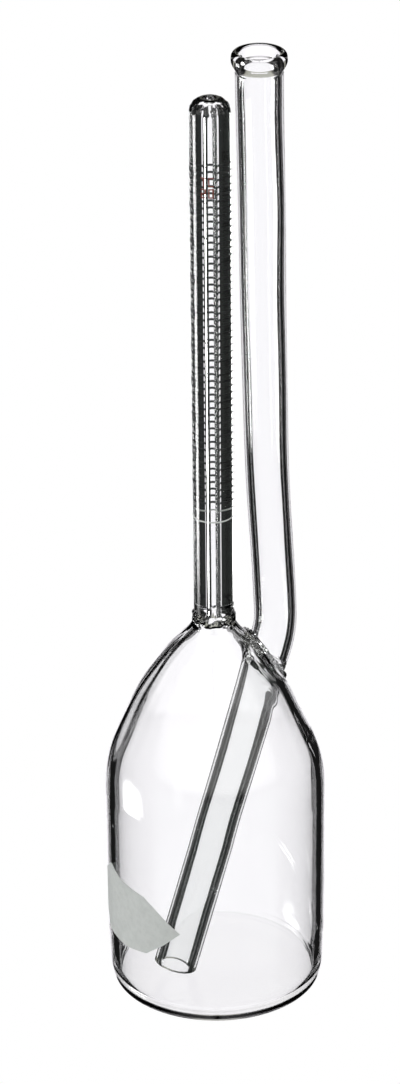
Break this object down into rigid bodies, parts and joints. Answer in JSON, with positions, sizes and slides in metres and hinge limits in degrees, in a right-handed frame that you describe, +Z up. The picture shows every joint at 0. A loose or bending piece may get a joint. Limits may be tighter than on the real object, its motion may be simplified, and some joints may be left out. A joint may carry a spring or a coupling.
{
  "type": "double-neck fat test bottle",
  "caption": "Flat-based clear glass test bottle with a graduated capillary neck and a lipped side filling tube that runs inside to near the base.",
  "frame": {"origin": "centre of the underside of the bulb, on the axis of bulb and capillary neck", "axes": "+Z up along the capillary neck; +X from the neck towards the filling tube"},
  "size_m": [0.0368, 0.0368, 0.165],
  "materials": {
    "clear_glass": "clear, polished",
    "scale_enamel": null,
    "sign_enamel": null,
    "white_enamel": null,
    "spot_enamel": null
  },
  "bodies": {
    "root": {"bottle_body": "clear_glass", "neck_weld": "clear_glass", "measuring_neck": "clear_glass", "filling_tube": "clear_glass", "lip_collar": "clear_glass", "filling_lip": "clear_glass", "ring_seal": "clear_glass", "dip_tube": "clear_glass", "scale_ticks": "scale_enamel", "scale_fifth_ticks": "scale_enamel", "scale_numerals": "scale_enamel", "temperature_sign": "sign_enamel", "zero_line": "white_enamel", "marking_spot": "spot_enamel"}
  },
  "joints": []
}
